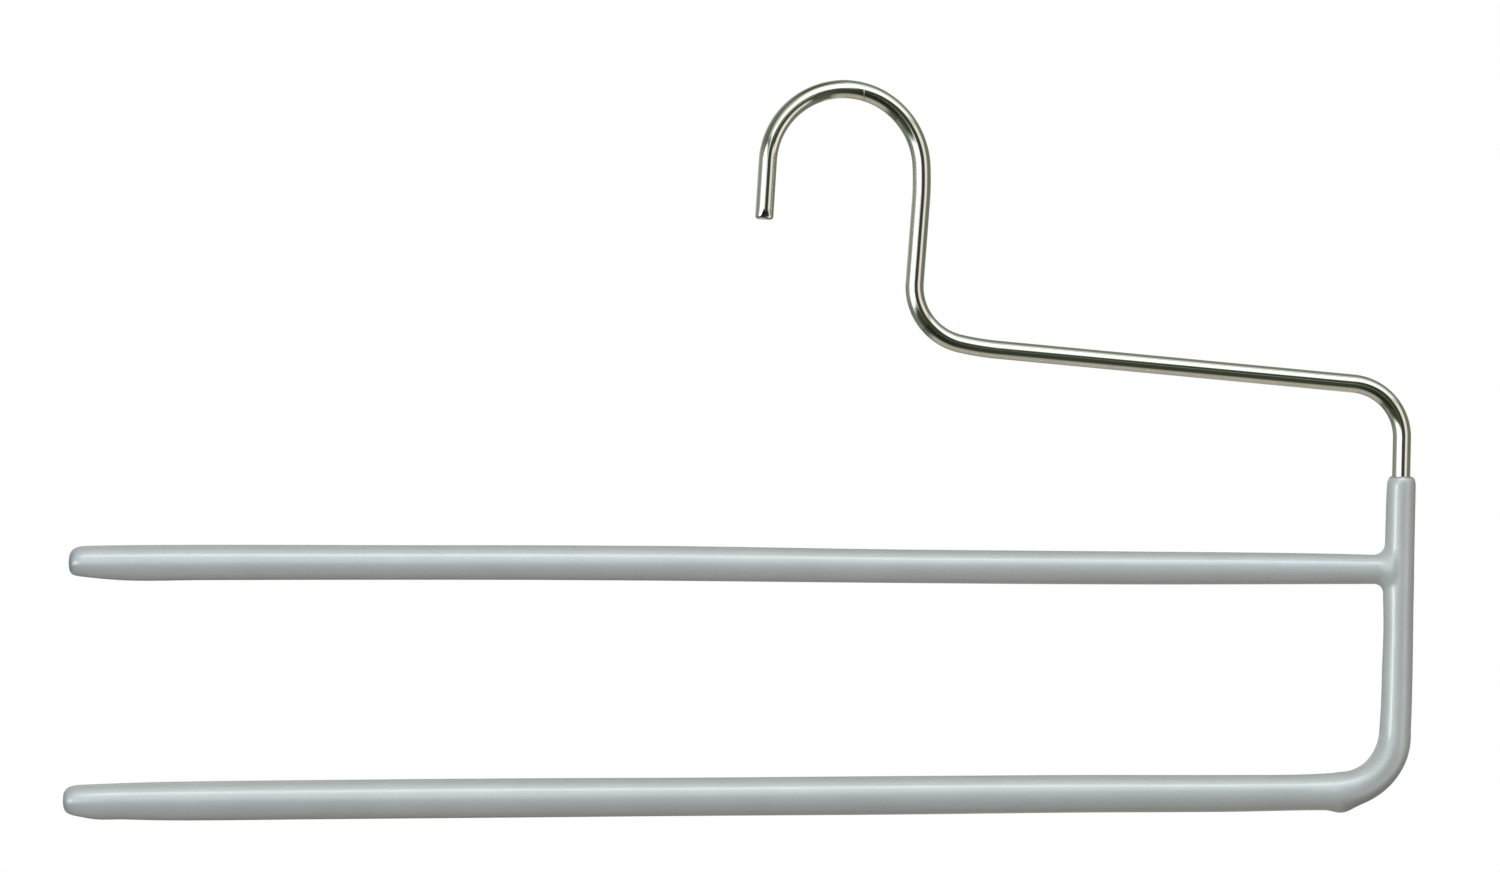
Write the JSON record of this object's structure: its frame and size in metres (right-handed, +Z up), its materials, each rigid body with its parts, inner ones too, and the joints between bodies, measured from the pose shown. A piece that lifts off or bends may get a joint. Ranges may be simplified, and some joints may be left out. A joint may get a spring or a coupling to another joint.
{
  "type": "trouser hanger",
  "caption": "Open-ended trouser hanger: chromed wire hook and frame, with two long horizontal bars in a soft silver-grey dipped skin.",
  "frame": {"origin": "the rail seat: the inner top of the hook, on the wire's surface, midway through its thickness", "axes": "+Z up, +X towards the upright that carries both bars, -Y towards the front of the hanger"},
  "size_m": [0.35, 0.0102, 0.1916],
  "materials": {
    "chromed_wire": "bright chrome plating on drawn steel wire",
    "bright_rod": "bright drawn steel, hidden under the skin",
    "weld_steel": "dull fused weld metal, hidden under the skin",
    "silver_skin": "soft dipped vinyl, silver grey with a fine pearl speckle, satin"
  },
  "bodies": {
    "root": {"hook_wire": "chromed_wire", "upper_bar_rod": "bright_rod", "upper_bar_weld": "weld_steel", "grip_coating": "silver_skin"}
  },
  "joints": []
}
